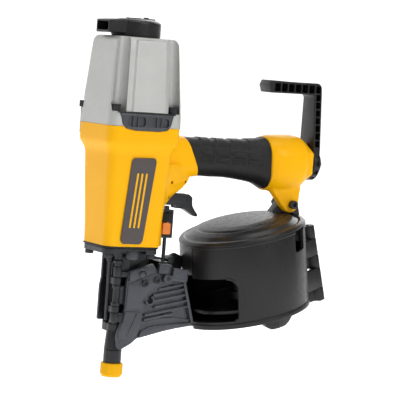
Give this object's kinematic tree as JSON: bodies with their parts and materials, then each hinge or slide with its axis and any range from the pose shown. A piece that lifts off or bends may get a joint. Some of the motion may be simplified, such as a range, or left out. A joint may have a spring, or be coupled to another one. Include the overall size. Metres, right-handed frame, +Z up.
{
  "type": "pneumatic coil nail gun",
  "caption": "Upright air-driven nailer with a side-swinging drum magazine, rubber grip, contact trip with depth wheel, swivelling exhaust deflector and rafter hook.",
  "frame": {"origin": "centre of the bounding box's footprint, level with the tip of the nose pad", "axes": "+Z up along the drive axis, +X from the drive axis towards the air inlet, -Y the side of the magazine's window"},
  "size_m": [0.2808, 0.1391, 0.369],
  "materials": {
    "yellow_paint": "satin paint",
    "grey_cap": "powder coated",
    "black_plastic": "moulded",
    "black_rubber": "moulded",
    "dark_steel": "blackened",
    "bright_steel": "plain",
    "aluminium": "machined",
    "badge_grey": "satin",
    "muffler_grey": "satin",
    "orange_plastic": "moulded",
    "yellow_rubber": "moulded",
    "amber_rubber": "moulded"
  },
  "bodies": {
    "tool_body": {"main_housing": "yellow_paint", "cylinder_cap": "grey_cap", "cap_bolt_1": "dark_steel", "cap_bolt_2": "dark_steel", "cap_bolt_3": "dark_steel", "cap_bolt_4": "dark_steel", "muffler_band_left": "muffler_grey", "muffler_band_right": "muffler_grey", "badge_left": "badge_grey", "badge_right": "badge_grey", "grip_sleeve": "black_rubber", "end_plate": "yellow_paint", "air_inlet": "bright_steel", "deflector_screw": "dark_steel", "cylinder_sleeve": "aluminium", "bumper": "amber_rubber", "trigger_pin": "dark_steel", "valve_body": "aluminium", "nose_gasket": "black_rubber", "nose_casting": "dark_steel", "nose_bolt_1": "dark_steel", "nose_bolt_2": "dark_steel", "nose_bolt_3": "dark_steel", "nose_bolt_4": "dark_steel", "feed_rail": "dark_steel", "feed_cylinder": "aluminium", "door_pin": "bright_steel", "magazine_base": "black_plastic", "cover_pin": "bright_steel", "magazine_bracket": "dark_steel", "bracket_bolt": "dark_steel", "bracket_nut": "dark_steel"},
    "deflector": {"exhaust_deflector": "black_plastic"},
    "hook": {"rafter_hook": "black_plastic"},
    "piston_set": {"piston": "aluminium", "piston_ring": "black_rubber", "driver_blade": "bright_steel"},
    "head_valve_set": {"head_valve": "black_plastic", "head_valve_spring": "bright_steel"},
    "trigger_set": {"trigger": "dark_steel", "lever_pin": "bright_steel"},
    "lever": {"trigger_lever": "bright_steel"},
    "stem": {"valve_stem": "bright_steel", "valve_spring": "bright_steel"},
    "trip": {"trip_link": "dark_steel", "trip_bushing": "orange_plastic", "trip_spring": "bright_steel"},
    "wheel": {"depth_wheel": "black_plastic"},
    "arm": {"contact_arm": "dark_steel", "no_mar_pad": "yellow_rubber"},
    "pawl": {"feed_pawl": "dark_steel"},
    "door": {"nose_door": "dark_steel", "door_rivet": "bright_steel", "door_screw_a": "bright_steel", "door_screw_b": "bright_steel", "latch_pin": "bright_steel"},
    "latch": {"door_latch": "dark_steel"},
    "cover": {"magazine_cover": "black_plastic", "rest_foot": "black_rubber"},
    "tray": {"nail_tray": "black_plastic"}
  },
  "joints": [
    {"name": "deflector_swivel", "type": "hinge", "parent": "tool_body", "child": "deflector", "pos_m": [-0.098, 0, 0.358], "axis": [0, 0, 1], "continuous": true},
    {"name": "hook_swivel", "type": "hinge", "parent": "tool_body", "child": "hook", "pos_m": [0.124, 0, 0.229], "axis": [1, 0, 0], "range_deg": [-90, 90]},
    {"name": "piston_stroke", "type": "slide", "parent": "tool_body", "child": "piston_set", "axis": [0, 0, -1], "range_m": [0, 0.087]},
    {"name": "head_valve_lift", "type": "slide", "parent": "tool_body", "child": "head_valve_set", "axis": [0, 0, 1], "range_m": [0, 0.005], "stiffness_N_per_m": 1500, "springref_m": -0.006, "deforming": ["head_valve_spring"]},
    {"name": "trigger_pull", "type": "hinge", "parent": "tool_body", "child": "trigger_set", "pos_m": [-0.0576, 0, 0.1886], "axis": [0, -1, 0], "range_deg": [0, 10], "stiffness_Nm_per_rad": 0.3, "springref_deg": -17.19},
    {"name": "stem_lift", "type": "slide", "parent": "tool_body", "child": "stem", "axis": [0, 0, 1], "range_m": [0, 0.0042], "stiffness_N_per_m": 200, "springref_m": -0.004, "deforming": ["valve_spring"]},
    {"name": "lever_tilt", "type": "hinge", "parent": "trigger_set", "child": "lever", "pos_m": [-0.0287, 0, 0.1849], "axis": [0, 1, 0], "range_deg": [0, 4.2]},
    {"name": "trip_travel", "type": "slide", "parent": "tool_body", "child": "trip", "axis": [0, 0, 1], "range_m": [0, 0.007], "stiffness_N_per_m": 300, "springref_m": -0.02, "deforming": ["trip_spring"]},
    {"name": "foot_adjust", "type": "slide", "parent": "trip", "child": "arm", "axis": [0, 0, 1], "range_m": [-0.003, 0.003]},
    {"name": "wheel_turn", "type": "hinge", "parent": "trip", "child": "wheel", "pos_m": [-0.0475, 0, 0.166], "axis": [0, 0, 1], "range_deg": [-720, 720]},
    {"name": "feed_stroke", "type": "slide", "parent": "tool_body", "child": "pawl", "axis": [1, 0, 0], "range_m": [0, 0.008], "stiffness_N_per_m": 150, "springref_m": -0.01},
    {"name": "door_swing", "type": "hinge", "parent": "tool_body", "child": "door", "pos_m": [-0.105, -0.012, 0.08], "axis": [0, 0, -1], "range_deg": [0, 100]},
    {"name": "latch_turn", "type": "hinge", "parent": "door", "child": "latch", "pos_m": [-0.05, -0.0165, 0.1036], "axis": [0, -1, 0], "range_deg": [0, 25], "stiffness_Nm_per_rad": 0.05, "springref_deg": -17.19},
    {"name": "cover_swing", "type": "hinge", "parent": "tool_body", "child": "cover", "pos_m": [0.12319, -0.02, 0.129], "axis": [-0.2588, 0, 0.9659], "range_deg": [0, 100]},
    {"name": "tray_height", "type": "slide", "parent": "tool_body", "child": "tray", "axis": [-0.2588, 0, 0.9659], "range_m": [0, 0.04]}
  ],
  "couplings": [
    {"joint": "stem_lift", "follows": "trigger_pull", "m_per_rad": 0.022},
    {"joint": "lever_tilt", "follows": "trip_travel", "rad_per_m": 9.5},
    {"joint": "wheel_turn", "follows": "foot_adjust", "rad_per_m": 4180}
  ]
}
